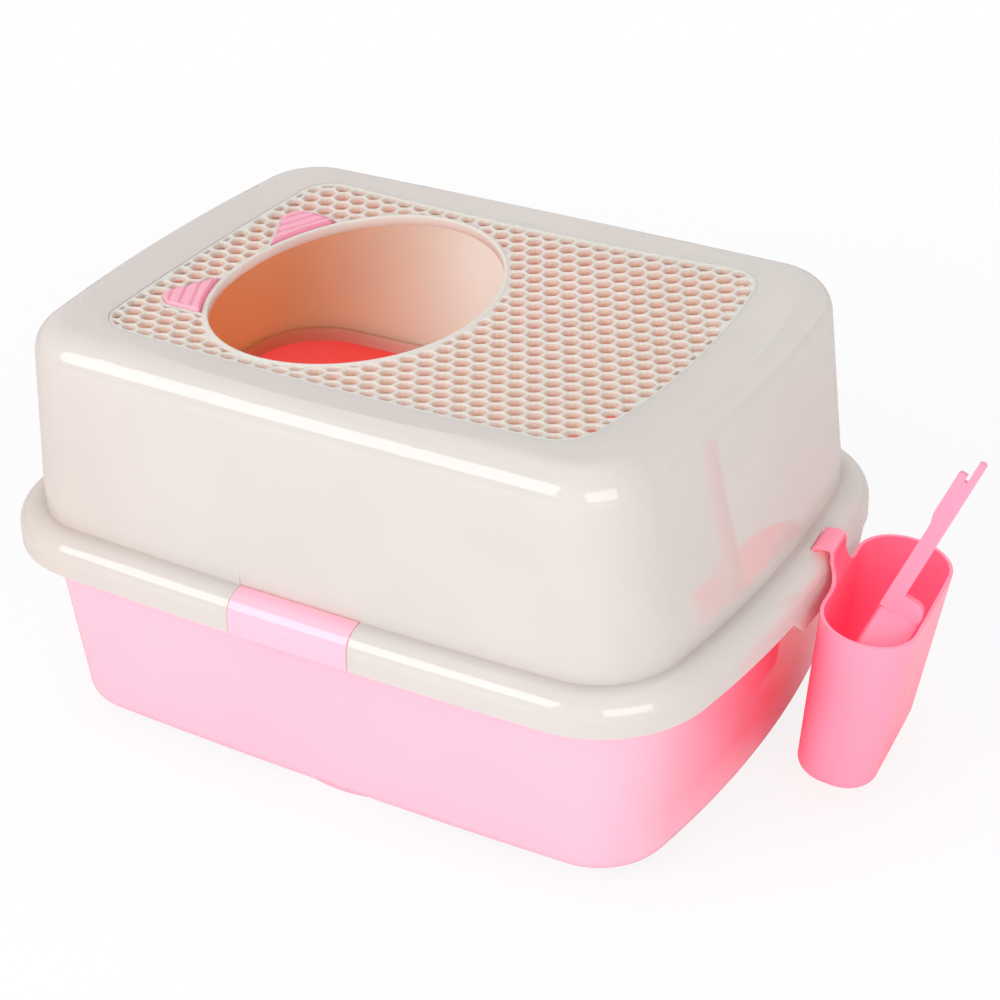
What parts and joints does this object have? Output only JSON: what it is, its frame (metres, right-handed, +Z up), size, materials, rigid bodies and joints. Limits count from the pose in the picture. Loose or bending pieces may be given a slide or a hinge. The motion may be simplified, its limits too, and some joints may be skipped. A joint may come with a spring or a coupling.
{
  "type": "top entry litter box",
  "caption": "Top entry litter box: open pan, tall drop-over hood, dished honeycomb top with an oval entry and ear pads, and a scoop in a hook-on holder.",
  "frame": {"origin": "centre of the pan's stand, on the floor it rests on", "axes": "+Z up; X along the length, +X towards the end that carries the scoop holder; Y across, -Y the front"},
  "size_m": [0.6268, 0.3822, 0.3065],
  "materials": {
    "pan_plastic": "glossy moulded polypropylene, pink",
    "hood_plastic": "glossy moulded polypropylene, cream white",
    "panel_plastic": "moulded polypropylene, cream white",
    "ear_plastic": "ribbed moulded polypropylene, pink",
    "holder_plastic": "satin moulded polypropylene, pink",
    "scoop_plastic": "satin moulded polypropylene, pink"
  },
  "bodies": {
    "pan_body": {"pan": "pan_plastic"},
    "hood_body": {"hood": "hood_plastic", "honeycomb_panel": "panel_plastic", "ear_back": "ear_plastic", "ear_front": "ear_plastic"},
    "holder_body": {"scoop_holder": "holder_plastic"},
    "scoop_body": {"scoop": "scoop_plastic"}
  },
  "joints": [
    {"name": "hood_lift", "type": "slide", "parent": "pan_body", "child": "hood_body", "axis": [0, 0, 1], "range_m": [0, 0.08]},
    {"name": "holder_lift", "type": "slide", "parent": "hood_body", "child": "holder_body", "axis": [0, 0, 1], "range_m": [0, 0.025]},
    {"name": "scoop_lift", "type": "slide", "parent": "holder_body", "child": "scoop_body", "axis": [0.1385, 0.0138, 0.9903], "range_m": [0, 0.08]}
  ]
}
